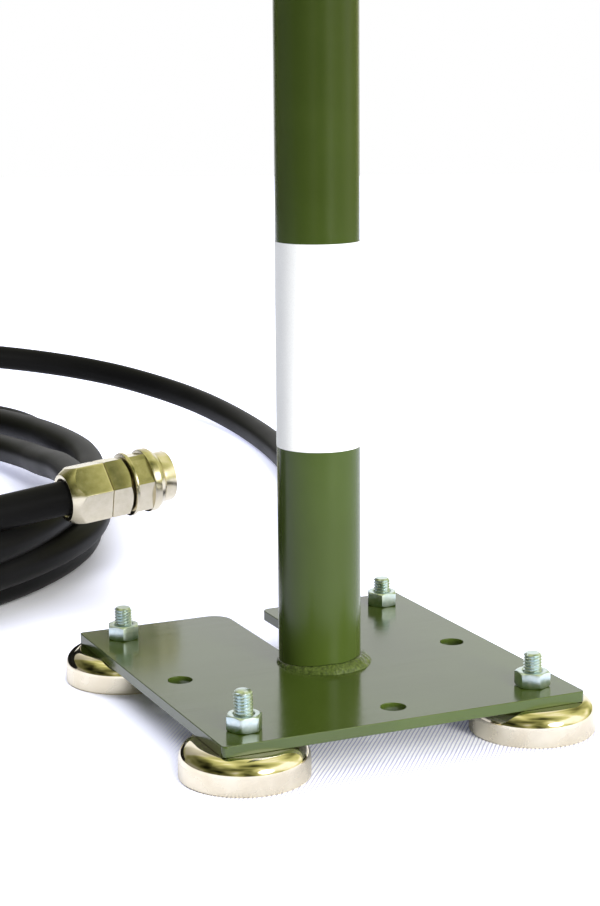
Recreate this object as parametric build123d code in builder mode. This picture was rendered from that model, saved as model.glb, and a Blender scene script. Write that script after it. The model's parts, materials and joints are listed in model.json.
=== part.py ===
"""Mast antenna on a magnetic base plate, with a coiled coaxial lead and its plug.

The floor is at z = 0, and the mast's axis is the Z axis. X runs along the front edge of the base plate,
and Y runs towards the edge that the cable slot opens on.
"""

import math
import os

from build123d import *

# Base plate
plate_width = 122.8
plate_depth = 131.6
plate_thickness = 3.5
plate_corner_radius = 1.5
stud_edge_side = 11.9
stud_edge_end = 12.4
stud_hole_gap = 0.3
free_hole_diameter = 7.9
free_hole_edge_side = 12.0
free_hole_edge_front = 12.1
slot_width = 14.5
slot_mouth_round_left = 7.0
slot_mouth_round_right = 3.0

# Pot magnets
magnet_diameter = 40.0
magnet_height = 10.8
magnet_shoulder = 5.0
cup_wall = 2.8
cup_roof = 3.5
cup_rim_chamfer = 0.5
magnet_recess = 0.1
potting_width = 0.8
potting_recess = 0.3

# Studs and nuts, M6
stud_diameter = 6.0
stud_head_diameter = 8.5
stud_head_height = 1.3
stud_fit_gap = 0.05
stud_end_chamfer = 0.8
stud_above_plate = {"front_left": 12.75, "front_right": 10.8, "back_left": 10.8, "back_right": 9.8}
nut_across_flats = 10.0
nut_height = 5.0
nut_chamfer = 0.5
nut_turn = {"front_left": 27.0, "front_right": 53.7, "back_left": 40.8, "back_right": 33.5}

# Mast
mast_diameter = 27.0
mast_wall = 2.6
mast_length = 235.7
weld_height = 4.3
weld_toe_leg = 2.6
weld_top_leg = 0.3
weld_lean_x = 1.1
weld_lean_y = -1.9
label_above_plate = 72.6
label_height = 66.0
paper_thickness = 0.12
paper_gap = 0.08

# Cable and the boot that it leaves the mast by
cable_diameter = 13.5
cable_bend_radius = 60.0
cable_exit_azimuth = 24.0
cable_exit_tilt = 75.0
cable_bend_height = 100.0
exit_hole_width = 15.0
exit_hole_height = 29.5
exit_hole_centre = 65.8
boot_flange_margin = 3.0
boot_flange_thickness = 1.6
boot_wall_inner = 2.9
boot_wall_outer = 1.5
boot_gap = 0.05

# Free lead, laid on the floor, and the coil
lead_first_run = 30.0
lead_points = [
    (52.5, 121.0, 20.5),
    (88.0, 204.0, 9.0),
    (117.0, 270.0, 6.9),
    (143.0, 345.0, 6.85),
    (159.0, 443.0, 7.0),
    (153.0, 520.0, 12.0),
    (115.0, 580.0, 22.0),
    (33.0, 593.0, 35.5),
    (-42.0, 598.0, 38.6),
    (-100.0, 583.0, 38.4),
    (-141.0, 554.0, 38.3),
]
lead_last_run = 60.0
coil_centre = (-98.0, 357.0)
coil_turn = 73.4
coil_half_length = 253.5
coil_half_width = 140.0
coil_shift = -8.5
coil_inner_half_length = 180.0
coil_inner_half_width = 85.0
coil_inner_shift = -40.0
coil_height = 31.0
coil_top_turn_half = 60.0
coil_top_turn_side = 118.0
tail_first_run = 60.0
tail_points = [
    (-239.5, 210.8, 38.3),
    (-205.0, 161.7, 38.3),
    (-154.0, 141.0, 38.4),
    (-104.0, 138.5, 39.0),
]
tail_last_run = 32.0
arc_share = 0.45

# Plug
plug_rear = (-39.9, 147.1, 43.7)
plug_front = (3.6, 150.7, 47.75)
plug_corner_towards = (-0.45, -0.85, 0.07)
plug_hex = 21.6
plug_edge_break = 0.6
clamp_nut_length = 16.2
clamp_nut_taper = 3.4
clamp_nut_taper_length = 5.2
clamp_thread_diameter = 16.4
clamp_thread_length = 2.5
clamp_bore_gap = 0.2
gasket_length = 2.0
braid_ring_length = 1.8
plug_body_length = 8.4
plug_groove = 0.9
plug_neck_diameter = 14.4
coupling_gap = 0.15
coupling_rim_length = 1.2
coupling_hex_length = 6.5
coupling_collar_length = 6.0
coupling_mouth_length = 4.8
coupling_mouth_diameter = 18.4
coupling_thread_diameter = 15.9
coupling_web = 4.0
snap_ring_thickness = 0.8
snap_ring_depth = 0.6
contact_diameter = 8.3
contact_bore = 7.0
contact_recess = 3.0
pin_diameter = 3.0
pin_tip_diameter = 1.65
pin_recess = 4.0

# Radome on top of the mast, with the radiator inside it
bush_collar = 4.0
bush_spigot = 20.0
bush_fit_gap = 0.15
radome_length = 200.0
ground_disc_thickness = 1.5
feed_insulator_diameter = 8.0
feed_insulator_length = 4.0
radiator_diameter = 4.0
radiator_length = 165.0
spacer_thickness = 8.0
spacer_heights = (55.0, 130.0)
cap_rim = 5.0
cap_spigot = 12.0
cap_dome = 2.0

# Sizes that follow from those above
plate_bottom = magnet_height
plate_top = plate_bottom + plate_thickness
mast_radius = mast_diameter / 2
mast_bore_radius = mast_radius - mast_wall
mast_top = plate_top + mast_length
cable_radius = cable_diameter / 2
stud_x = plate_width / 2 - stud_edge_side
stud_y = plate_depth / 2 - stud_edge_end
corners = {
    "front_left": (-stud_x, -stud_y),
    "front_right": (stud_x, -stud_y),
    "back_left": (-stud_x, stud_y),
    "back_right": (stud_x, stud_y),
}
free_hole_x = plate_width / 2 - free_hole_edge_side
free_hole_y = plate_depth / 2 - free_hole_edge_front
cup_bore_radius = magnet_diameter / 2 - cup_wall
cup_roof_bottom = magnet_height - cup_roof

os.makedirs("parts", exist_ok=True)


def keep(piece, name):
    """Label a finished piece and write its file."""
    piece.part.label = name
    export_step(piece.part, f"parts/{name}.step")


# Base plate, with the slot that runs in from the back edge to the mast's bore
with BuildPart() as base_plate:
    with BuildSketch(Plane.XY.offset(plate_bottom)):
        RectangleRounded(plate_width, plate_depth, plate_corner_radius)
        with Locations(*corners.values()):
            Circle(stud_diameter / 2 + stud_hole_gap, mode=Mode.SUBTRACT)
        with Locations((-free_hole_x, 0), (free_hole_x, 0), (0, -free_hole_y)):
            Circle(free_hole_diameter / 2, mode=Mode.SUBTRACT)
        Circle(slot_width / 2, mode=Mode.SUBTRACT)
        with Locations((0, plate_depth / 2)):
            Rectangle(slot_width, plate_depth, mode=Mode.SUBTRACT)
    extrude(amount=plate_thickness)
    slot_mouth = base_plate.edges().filter_by(Axis.Z).filter_by_position(
        Axis.X, -slot_width / 2 - 0.01, slot_width / 2 + 0.01
    ).filter_by_position(Axis.Y, plate_depth / 2 - 0.01, plate_depth / 2 + 0.01).sort_by(Axis.X)
    fillet(slot_mouth[0], slot_mouth_round_left)
    fillet(base_plate.edges().filter_by(Axis.Z).filter_by_position(
        Axis.X, slot_width / 2 - 0.01, slot_width / 2 + 0.01
    ).filter_by_position(Axis.Y, plate_depth / 2 - 0.01, plate_depth / 2 + 0.01), slot_mouth_round_right)
keep(base_plate, "base_plate")


def magnet_cup(name, place):
    """Deep-drawn steel cup with a rounded shoulder, open below."""
    with BuildPart() as cup:
        with BuildSketch(Plane.XZ):
            with BuildLine():
                outer = magnet_diameter / 2
                flat_top = outer - magnet_shoulder
                hole = stud_diameter / 2 + stud_fit_gap
                head = stud_head_diameter / 2 + stud_fit_gap
                head_top = cup_roof_bottom + stud_head_height
                Line((hole, magnet_height), (flat_top, magnet_height))
                CenterArc((flat_top, magnet_height - magnet_shoulder), magnet_shoulder, 90, -90)
                Polyline(
                    (outer, magnet_height - magnet_shoulder),
                    (outer, cup_rim_chamfer),
                    (outer - cup_rim_chamfer, 0),
                    (cup_bore_radius, 0),
                    (cup_bore_radius, cup_roof_bottom),
                    (head, cup_roof_bottom),
                    (head, head_top),
                    (hole, head_top),
                    (hole, magnet_height),
                )
            make_face()
        revolve(axis=Axis.Z)
    cup.part.position = (*place, 0)
    keep(cup, f"magnet_cup_{name}")


def magnet_disc(name, place):
    """Round magnet, glued up against the cup's roof."""
    with BuildPart() as disc:
        with BuildSketch(Plane.XY.offset(magnet_recess)):
            with Locations(place):
                Circle(cup_bore_radius - potting_width)
        extrude(amount=cup_roof_bottom - magnet_recess)
    keep(disc, f"magnet_disc_{name}")


def magnet_potting(name, place):
    """Resin that fills the ring between the magnet and its cup."""
    with BuildPart() as potting:
        with BuildSketch(Plane.XY.offset(potting_recess)):
            with Locations(place):
                Circle(cup_bore_radius)
                Circle(cup_bore_radius - potting_width, mode=Mode.SUBTRACT)
        extrude(amount=cup_roof_bottom - potting_recess)
    keep(potting, f"magnet_potting_{name}")


def magnet_stud(name, place):
    """Stud pressed into the cup's roof from below, with its head sunk flush."""
    with BuildPart() as stud:
        with BuildSketch(Plane.XY.offset(cup_roof_bottom)):
            with Locations(place):
                Circle(stud_head_diameter / 2)
        extrude(amount=stud_head_height)
        with BuildSketch(Plane.XY.offset(cup_roof_bottom)):
            with Locations(place):
                Circle(stud_diameter / 2)
        extrude(amount=plate_top + stud_above_plate[name] - cup_roof_bottom)
        fillet(stud.edges().group_by(Axis.Z)[-1], stud_end_chamfer)
    keep(stud, f"magnet_stud_{name}")


for corner_name, corner_place in corners.items():
    magnet_cup(corner_name, corner_place)
    magnet_disc(corner_name, corner_place)
    magnet_potting(corner_name, corner_place)
    magnet_stud(corner_name, corner_place)

# Hexagon nuts, with the corners turned down to a cone on both faces
with BuildPart() as hex_nuts:
    for corner_name, corner_place in corners.items():
        with BuildSketch(Plane.XY.offset(plate_top)):
            with Locations(corner_place):
                RegularPolygon(
                    nut_across_flats / 2, 6, major_radius=False, rotation=nut_turn[corner_name] + 30
                )
        extrude(amount=nut_height)
    for corner_place in corners.values():
        nut_corner = nut_across_flats / math.sqrt(3)
        with BuildSketch(Plane.XZ.offset(-corner_place[1])):
            with BuildLine():
                Polyline(
                    (corner_place[0] + nut_corner - 2 * nut_chamfer, plate_top),
                    (corner_place[0] + nut_corner + nut_chamfer, plate_top),
                    (corner_place[0] + nut_corner + nut_chamfer, plate_top + nut_chamfer * 1.5),
                    close=True,
                )
                Polyline(
                    (corner_place[0] + nut_corner - 2 * nut_chamfer, plate_top + nut_height),
                    (corner_place[0] + nut_corner + nut_chamfer, plate_top + nut_height),
                    (
                        corner_place[0] + nut_corner + nut_chamfer,
                        plate_top + nut_height - nut_chamfer * 1.5,
                    ),
                    close=True,
                )
            make_face()
        revolve(axis=Axis((*corner_place, 0), (0, 0, 1)), mode=Mode.SUBTRACT)
        with Locations((*corner_place, plate_top)):
            Cylinder(
                stud_diameter / 2 + stud_fit_gap,
                nut_height,
                align=(Align.CENTER, Align.CENTER, Align.MIN),
                mode=Mode.SUBTRACT,
            )
keep(hex_nuts, "hex_nuts")

# Cable run inside the mast: straight down the bore, then out through the back in one bend
exit_angle = math.radians(cable_exit_azimuth)
exit_way = Vector(math.sin(exit_angle), math.cos(exit_angle), 0)
bend_plane = Plane(
    origin=(0, 0, cable_bend_height), x_dir=exit_way, z_dir=exit_way.cross(Vector(0, 0, 1))
)
bush_bottom = mast_top - bush_spigot
bush_top = mast_top + bush_collar + bush_spigot


def on_bend(tilt):
    """Point of the bend's centreline after the cable has turned by tilt degrees, across and up."""
    return (
        cable_bend_radius * (1 - math.cos(math.radians(tilt))),
        -cable_bend_radius * math.sin(math.radians(tilt)),
    )


def bend_section(tilt):
    """Plane across the bend at that tilt."""
    across, up = on_bend(tilt)
    way = exit_way * math.sin(math.radians(tilt)) - Vector(0, 0, math.cos(math.radians(tilt)))
    origin = exit_way * across + Vector(0, 0, cable_bend_height + up)
    return Plane(origin=origin, x_dir=Vector(0, 0, 1).cross(exit_way), z_dir=way)


with BuildLine() as feed_path:
    feed_start = (0, 0, bush_top)
    bend_start = (0, 0, cable_bend_height)
    Line(feed_start, bend_start)
    ThreePointArc(
        bend_start,
        bend_section(cable_exit_tilt / 2).origin,
        bend_section(cable_exit_tilt).origin,
    )
with BuildPart() as feed_cable:
    with BuildSketch(Plane(origin=feed_start, z_dir=(0, 0, -1))):
        Circle(cable_radius)
    sweep(path=feed_path.line)
keep(feed_cable, "feed_cable")

# Mast: seamless tube that stands on the plate over the slot's end, with the cable hole in its back
exit_hole_plane = Plane(
    origin=(0, 0, exit_hole_centre), x_dir=Vector(0, 0, 1).cross(exit_way), z_dir=exit_way
)
with BuildPart() as mast_tube:
    with BuildSketch(Plane.XY.offset(plate_top)):
        Circle(mast_radius)
        Circle(mast_bore_radius, mode=Mode.SUBTRACT)
    extrude(amount=mast_length)
    with BuildSketch(exit_hole_plane):
        SlotOverall(exit_hole_height, exit_hole_width, rotation=90)
    extrude(amount=mast_diameter, mode=Mode.SUBTRACT)
keep(mast_tube, "mast_tube")

# Weld bead round the foot of the mast, thicker to the front right, and left open over the slot
with BuildPart() as weld_bead:
    for weld_share, weld_leg in ((0, weld_toe_leg), (0.5, 0.8 * weld_toe_leg), (1, weld_top_leg)):
        weld_lean = weld_leg / weld_toe_leg
        with BuildSketch(Plane.XY.offset(plate_top + weld_share * weld_height)):
            with Locations((weld_lean * weld_lean_x, weld_lean * weld_lean_y)):
                Circle(mast_radius + weld_leg)
    loft()
    with BuildSketch(Plane.XY.offset(plate_top)):
        Circle(mast_radius)
    extrude(amount=weld_height, mode=Mode.SUBTRACT)
    with BuildSketch(Plane.XY.offset(plate_top)):
        with Locations((0, mast_diameter)):
            Rectangle(slot_width, 2 * mast_diameter)
    extrude(amount=weld_height, mode=Mode.SUBTRACT)
keep(weld_bead, "weld_bead")

# Paper label, wrapped once round the mast
with BuildPart() as mast_label:
    with BuildSketch(Plane.XY.offset(plate_top + label_above_plate)):
        Circle(mast_radius + paper_gap + paper_thickness)
        Circle(mast_radius + paper_gap, mode=Mode.SUBTRACT)
    extrude(amount=label_height)
keep(mast_label, "mast_label")

# Rubber boot: a flange that follows the mast, a lip in its hole and a tapered spout along the bend
spout_start = 30.0
with BuildPart() as boot_flange:
    with BuildSketch(exit_hole_plane):
        SlotOverall(
            exit_hole_height + 2 * boot_flange_margin,
            exit_hole_width + 2 * boot_flange_margin,
            rotation=90,
        )
    extrude(amount=mast_diameter)
    with BuildSketch():
        Circle(mast_radius + boot_flange_thickness)
    extrude(amount=cable_bend_height + exit_hole_height, mode=Mode.INTERSECT)
    with BuildSketch():
        Circle(mast_radius)
    extrude(amount=cable_bend_height + exit_hole_height, mode=Mode.SUBTRACT)
with BuildPart() as boot_lip:
    with BuildSketch(exit_hole_plane):
        SlotOverall(exit_hole_height, exit_hole_width, rotation=90)
    extrude(amount=mast_diameter)
    with BuildSketch():
        Circle(mast_radius)
    extrude(amount=cable_bend_height + exit_hole_height, mode=Mode.INTERSECT)
    with BuildSketch():
        Circle(mast_bore_radius)
    extrude(amount=cable_bend_height + exit_hole_height, mode=Mode.SUBTRACT)
with BuildPart() as cable_boot:
    for share in (0, 0.5, 1):
        tilt = spout_start + (cable_exit_tilt - spout_start) * share
        spout_wall = boot_wall_inner + (boot_wall_outer - boot_wall_inner) * share
        with BuildSketch(bend_section(tilt)):
            Circle(cable_radius + spout_wall)
    loft()
    with BuildSketch():
        Circle(mast_radius)
    extrude(amount=2 * cable_bend_height, mode=Mode.SUBTRACT)
    add(boot_flange.part)
    add(boot_lip.part)
    with BuildSketch(Plane(origin=feed_start, z_dir=(0, 0, -1))):
        Circle(cable_radius + boot_gap)
    sweep(path=feed_path.line, mode=Mode.SUBTRACT)
keep(cable_boot, "cable_boot")


def route_tube(points, name):
    """Cable along straight runs that arcs join, each arc as large as its two runs allow."""
    route = [Vector(*point) for point in points]
    runs = [after - before for before, after in zip(route, route[1:])]
    radii = []
    for before, after in zip(runs, runs[1:]):
        half_turn = math.radians(before.get_angle(after)) / 2
        radii.append(arc_share * min(before.length, after.length) / math.tan(half_turn))
    print(name, "runs", [round(run.length) for run in runs], "radii", [round(r) for r in radii])
    with BuildLine() as path:
        FilletPolyline(*points, radius=radii)
    with BuildPart() as tube:
        with BuildSketch(Plane(origin=route[0], z_dir=runs[0])):
            Circle(cable_radius)
        sweep(path=path.line)
    length = path.wires()[0].length
    share = tube.part.volume / (math.pi * cable_radius**2 * length)
    print(name, "length", round(length, 1), "volume over section times length", round(share, 4))
    keep(tube, name)


# Coil: one closed form that holds its turns, with the top turn standing proud on its far side
coil_angle = math.radians(coil_turn)
coil_long_way = Vector(math.cos(coil_angle), math.sin(coil_angle), 0)
coil_plane = Plane(origin=(*coil_centre, 0), x_dir=coil_long_way, z_dir=(0, 0, 1))
with BuildPart() as cable_coil:
    with BuildSketch(coil_plane):
        with Locations((coil_shift, 0)):
            Ellipse(coil_half_length, coil_half_width)
        with Locations((coil_inner_shift, 0)):
            Ellipse(coil_inner_half_length, coil_inner_half_width, mode=Mode.SUBTRACT)
    extrude(amount=coil_height)
    with BuildSketch(coil_plane.offset(coil_height)):
        with Locations((coil_shift, 0)):
            Ellipse(coil_half_length, coil_half_width)
        with Locations((coil_inner_shift, 0)):
            Ellipse(coil_inner_half_length, coil_inner_half_width, mode=Mode.SUBTRACT)
        with Locations((0, coil_half_width)):
            Rectangle(2 * coil_top_turn_half, 2 * coil_half_width, mode=Mode.INTERSECT)
    extrude(amount=cable_diameter + 2 * boot_gap)
keep(cable_coil, "cable_coil")

top_turn_height = coil_height + cable_radius + boot_gap
lead_end = coil_plane.from_local_coords(Vector(coil_top_turn_half, coil_top_turn_side, top_turn_height))
tail_start = coil_plane.from_local_coords(
    Vector(-coil_top_turn_half, coil_top_turn_side, top_turn_height)
)
lead_start = bend_section(cable_exit_tilt).origin
lead_way = bend_section(cable_exit_tilt).z_dir
route_tube(
    [
        tuple(lead_start),
        tuple(lead_start + lead_way * lead_first_run),
        *lead_points,
        tuple(lead_end + coil_long_way * lead_last_run),
        tuple(lead_end),
    ],
    "cable_lead",
)

# Plug: its axis lies along the cable's end, and distances along it are measured from its rear face
jacket_end = clamp_nut_length + clamp_thread_length
plug_way = (Vector(*plug_front) - Vector(*plug_rear)).normalized()
plug_plane = Plane(origin=plug_rear, x_dir=plug_corner_towards, z_dir=plug_way)
plug_axis = Axis(plug_rear, plug_way)
plug_profile = Plane(
    origin=plug_rear, x_dir=plug_plane.x_dir, z_dir=plug_plane.x_dir.cross(plug_way)
)
route_tube(
    [
        tuple(tail_start),
        tuple(tail_start - coil_long_way * tail_first_run),
        *tail_points,
        tuple(Vector(*plug_rear) - plug_way * tail_last_run),
        tuple(Vector(*plug_rear) + plug_way * jacket_end),
    ],
    "cable_tail",
)

clamp_thread_radius = clamp_thread_diameter / 2
clamp_bore = cable_radius + clamp_bore_gap
braid_ring_start = jacket_end + gasket_length
chamber_end = braid_ring_start + braid_ring_length
plug_body_end = clamp_nut_length + plug_body_length
coupling_start = plug_body_end + plug_groove
coupling_web_end = coupling_start + coupling_web
collar_start = coupling_start + coupling_rim_length + coupling_hex_length
mouth_start = collar_start + coupling_collar_length
coupling_end = mouth_start + coupling_mouth_length
neck_radius = plug_neck_diameter / 2
coupling_thread_radius = coupling_thread_diameter / 2
mouth_radius = coupling_mouth_diameter / 2
contact_end = coupling_end - contact_recess
pin_end = coupling_end - pin_recess
plug_flat = plug_hex / 2
plug_corner = plug_hex / math.sqrt(3)


def hex_bar(start, end):
    """Hexagon stretch of the plug."""
    with BuildSketch(plug_plane.offset(start)) as section:
        RegularPolygon(plug_flat, 6, major_radius=False)
    extrude(section.sketch, amount=end - start)


def turned(points, mode=Mode.ADD):
    """Turned form about the plug's axis, from (radius, distance) corners."""
    with BuildSketch(plug_profile) as section:
        with BuildLine():
            Polyline(*points, close=True)
        make_face()
    revolve(section.sketch, axis=plug_axis, mode=mode)


def turn_down(edge, inner_radius, inner):
    """Cone turned on the corners of a hexagon, from the bar's edge at inner_radius to inner."""
    turned(
        [
            (inner_radius, edge),
            (plug_corner + plug_edge_break, edge),
            (plug_corner + plug_edge_break, inner),
            (plug_corner, inner),
        ],
        mode=Mode.SUBTRACT,
    )


# Clamp nut: hexagon with a long taper at the cable's side and a threaded spigot inside the body
with BuildPart() as clamp_nut:
    hex_bar(0, clamp_nut_length)
    turn_down(0, plug_corner - clamp_nut_taper, clamp_nut_taper_length)
    turn_down(clamp_nut_length, plug_corner - plug_edge_break, clamp_nut_length - plug_edge_break)
    turned(
        [
            (0, clamp_nut_length),
            (clamp_thread_radius - boot_gap, clamp_nut_length),
            (clamp_thread_radius - boot_gap, jacket_end),
            (0, jacket_end),
        ]
    )
    turned(
        [
            (0, 0),
            (clamp_bore, 0),
            (clamp_bore, jacket_end),
            (0, jacket_end),
        ],
        mode=Mode.SUBTRACT,
    )
keep(clamp_nut, "plug_clamp_nut")

# Rubber gasket that the clamp nut squeezes on the cable's end, and the ring that holds its braid
with BuildPart() as plug_gasket:
    turned(
        [
            (contact_bore / 2, jacket_end),
            (clamp_thread_radius - boot_gap, jacket_end),
            (clamp_thread_radius - boot_gap, braid_ring_start),
            (contact_bore / 2, braid_ring_start),
        ]
    )
keep(plug_gasket, "plug_gasket")

with BuildPart() as braid_ring:
    turned(
        [
            (contact_bore / 2, braid_ring_start),
            (clamp_thread_radius - boot_gap, braid_ring_start),
            (clamp_thread_radius - boot_gap, chamber_end),
            (contact_bore / 2, chamber_end),
        ]
    )
keep(braid_ring, "plug_braid_ring")

# Body: hexagon over the clamp thread, a neck with the snap ring's groove and the outer contact
groove_start = coupling_web_end + coupling_gap
groove_end = groove_start + snap_ring_thickness + 2 * boot_gap
neck_end = groove_end + snap_ring_thickness
with BuildPart() as plug_body:
    hex_bar(clamp_nut_length, plug_body_end)
    turn_down(clamp_nut_length, plug_corner - plug_edge_break, clamp_nut_length + plug_edge_break)
    turn_down(plug_body_end, plug_flat, plug_body_end - 2 * plug_edge_break)
    turned(
        [
            (0, plug_body_end),
            (neck_radius, plug_body_end),
            (neck_radius, groove_start),
            (neck_radius - snap_ring_depth, groove_start),
            (neck_radius - snap_ring_depth, groove_end),
            (neck_radius, groove_end),
            (neck_radius, neck_end),
            (contact_diameter / 2, neck_end),
            (contact_diameter / 2, contact_end),
            (0, contact_end),
        ]
    )
    turned(
        [
            (0, clamp_nut_length),
            (clamp_thread_radius, clamp_nut_length),
            (clamp_thread_radius, chamber_end),
            (contact_bore / 2, chamber_end),
            (contact_bore / 2, contact_end),
            (0, contact_end),
        ],
        mode=Mode.SUBTRACT,
    )
keep(plug_body, "plug_body")

with BuildPart() as plug_insulator:
    turned(
        [
            (pin_diameter / 2, chamber_end),
            (contact_bore / 2, chamber_end),
            (contact_bore / 2, neck_end),
            (pin_diameter / 2, neck_end),
        ]
    )
keep(plug_insulator, "plug_insulator")

with BuildPart() as centre_pin:
    turned(
        [
            (0, jacket_end),
            (pin_diameter / 2, jacket_end),
            (pin_diameter / 2, neck_end + pin_diameter / 4),
            (pin_tip_diameter / 2, neck_end + pin_diameter / 2),
            (pin_tip_diameter / 2, pin_end - pin_tip_diameter / 2),
            (pin_tip_diameter / 4, pin_end),
            (0, pin_end),
        ]
    )
keep(centre_pin, "plug_centre_pin")

# Coupling nut: round rim, milled flats, round collar and a narrower mouth, free to turn on the neck
with BuildPart() as coupling_nut:
    hex_bar(coupling_start, collar_start)
    turned(
        [
            (0, coupling_start),
            (plug_corner - plug_edge_break, coupling_start),
            (plug_corner, coupling_start + plug_edge_break),
            (plug_corner, coupling_start + coupling_rim_length),
            (0, coupling_start + coupling_rim_length),
        ]
    )
    turned(
        [
            (0, collar_start),
            (plug_corner - plug_edge_break, collar_start),
            (plug_corner, collar_start + plug_edge_break),
            (plug_corner, collar_start + coupling_collar_length / 2),
            (plug_corner - 2 * plug_edge_break, mouth_start - 2 * plug_edge_break),
            (mouth_radius, mouth_start),
            (mouth_radius, coupling_end - plug_edge_break),
            (mouth_radius - plug_edge_break, coupling_end),
            (0, coupling_end),
        ]
    )
    turned(
        [
            (0, coupling_start),
            (neck_radius + coupling_gap, coupling_start),
            (neck_radius + coupling_gap, coupling_web_end),
            (coupling_thread_radius, coupling_web_end),
            (coupling_thread_radius, coupling_end),
            (0, coupling_end),
        ],
        mode=Mode.SUBTRACT,
    )
keep(coupling_nut, "plug_coupling_nut")

# Snap ring that keeps the coupling nut on the neck, split on one side
with BuildPart() as snap_ring:
    turned(
        [
            (neck_radius - snap_ring_depth, groove_start + boot_gap),
            (coupling_thread_radius - coupling_gap, groove_start + boot_gap),
            (coupling_thread_radius - coupling_gap, groove_end - boot_gap),
            (neck_radius - snap_ring_depth, groove_end - boot_gap),
        ]
    )
    with BuildSketch(plug_plane.offset(groove_start)):
        with Locations((-neck_radius, 0)):
            Rectangle(neck_radius, 2 * snap_ring_thickness)
    extrude(amount=groove_end - groove_start, mode=Mode.SUBTRACT)
keep(snap_ring, "plug_snap_ring")

# Bush between the mast and the radome, bored for the cable
spigot_radius = mast_bore_radius - bush_fit_gap
with BuildPart() as radome_bush:
    with BuildSketch(Plane.XY.offset(bush_bottom)):
        Circle(spigot_radius)
    extrude(amount=bush_top - bush_bottom)
    with BuildSketch(Plane.XY.offset(mast_top)):
        Circle(mast_radius)
    extrude(amount=bush_collar)
    with BuildSketch(Plane.XY.offset(bush_bottom)):
        Circle(cable_radius + boot_gap)
    extrude(amount=bush_top - bush_bottom, mode=Mode.SUBTRACT)
keep(radome_bush, "radome_bush")

radome_bottom = mast_top + bush_collar
radome_top = radome_bottom + radome_length
with BuildPart() as radome_tube:
    with BuildSketch(Plane.XY.offset(radome_bottom)):
        Circle(mast_radius)
        Circle(mast_bore_radius, mode=Mode.SUBTRACT)
    extrude(amount=radome_length)
keep(radome_tube, "radome_tube")

# Radiator: the braid ends in a disc, and the core goes on as a rod that two spacers steady
with BuildPart() as ground_disc:
    with BuildSketch(Plane.XY.offset(bush_top)):
        Circle(spigot_radius)
        Circle(feed_insulator_diameter / 2, mode=Mode.SUBTRACT)
    extrude(amount=ground_disc_thickness)
keep(ground_disc, "ground_disc")

with BuildPart() as feed_insulator:
    with BuildSketch(Plane.XY.offset(bush_top)):
        Circle(feed_insulator_diameter / 2)
        Circle(radiator_diameter / 2, mode=Mode.SUBTRACT)
    extrude(amount=feed_insulator_length)
keep(feed_insulator, "feed_insulator")

with BuildPart() as radiator_rod:
    with BuildSketch(Plane.XY.offset(bush_top)):
        Circle(radiator_diameter / 2)
    extrude(amount=radiator_length)
    chamfer(radiator_rod.edges().group_by(Axis.Z)[-1], radiator_diameter / 8)
keep(radiator_rod, "radiator_rod")

for spacer_name, spacer_height in zip(("lower", "upper"), spacer_heights):
    with BuildPart() as rod_spacer:
        with BuildSketch(Plane.XY.offset(bush_top + spacer_height)):
            Circle(spigot_radius)
            Circle(radiator_diameter / 2, mode=Mode.SUBTRACT)
        extrude(amount=spacer_thickness)
    keep(rod_spacer, f"rod_spacer_{spacer_name}")

# Cap pressed into the radome's top
with BuildPart() as radome_cap:
    with BuildSketch(Plane.XY.offset(radome_top - cap_spigot)):
        Circle(spigot_radius)
    extrude(amount=cap_spigot)
    with BuildSketch(Plane.XY.offset(radome_top)):
        Circle(mast_radius)
    extrude(amount=cap_rim)
    fillet(radome_cap.edges().group_by(Axis.Z)[-1], cap_dome)
keep(radome_cap, "radome_cap")
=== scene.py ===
import json
import math

import bmesh
import bpy
from mathutils import Matrix, Vector, noise


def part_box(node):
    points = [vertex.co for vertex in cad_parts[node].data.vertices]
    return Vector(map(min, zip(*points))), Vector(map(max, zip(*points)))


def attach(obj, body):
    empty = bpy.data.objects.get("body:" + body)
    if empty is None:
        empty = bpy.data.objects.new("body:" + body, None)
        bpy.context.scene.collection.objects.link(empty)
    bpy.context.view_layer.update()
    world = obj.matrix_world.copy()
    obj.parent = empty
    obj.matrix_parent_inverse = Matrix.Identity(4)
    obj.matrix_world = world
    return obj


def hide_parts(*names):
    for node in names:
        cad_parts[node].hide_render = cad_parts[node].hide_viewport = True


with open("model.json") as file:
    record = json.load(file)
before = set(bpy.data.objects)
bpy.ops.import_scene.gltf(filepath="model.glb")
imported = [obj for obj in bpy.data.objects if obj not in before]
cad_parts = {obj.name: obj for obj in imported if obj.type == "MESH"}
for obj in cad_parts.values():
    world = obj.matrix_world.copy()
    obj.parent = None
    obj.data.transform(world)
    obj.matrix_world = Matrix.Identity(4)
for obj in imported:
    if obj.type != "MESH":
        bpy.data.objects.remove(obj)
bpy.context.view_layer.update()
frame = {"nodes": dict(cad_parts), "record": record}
nodes = frame["nodes"]
nodeSlots = {part["node"]: part["material_slot"] for part in frame["record"]["subparts"]}
mm = 0.001

# camera: solved from the plate's corners, the magnets and the mast's edges
camera = {
    "place": (-277.0, -601.43, 217.34),  # mm
    "lens": 82.9,
    "sensor": 36.0,
    "clip": (0.02, 60.0),  # m
    "yaw": 24.21,  # degrees
    "pitch": 11.37,
    "roll": -0.436,
}


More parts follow.
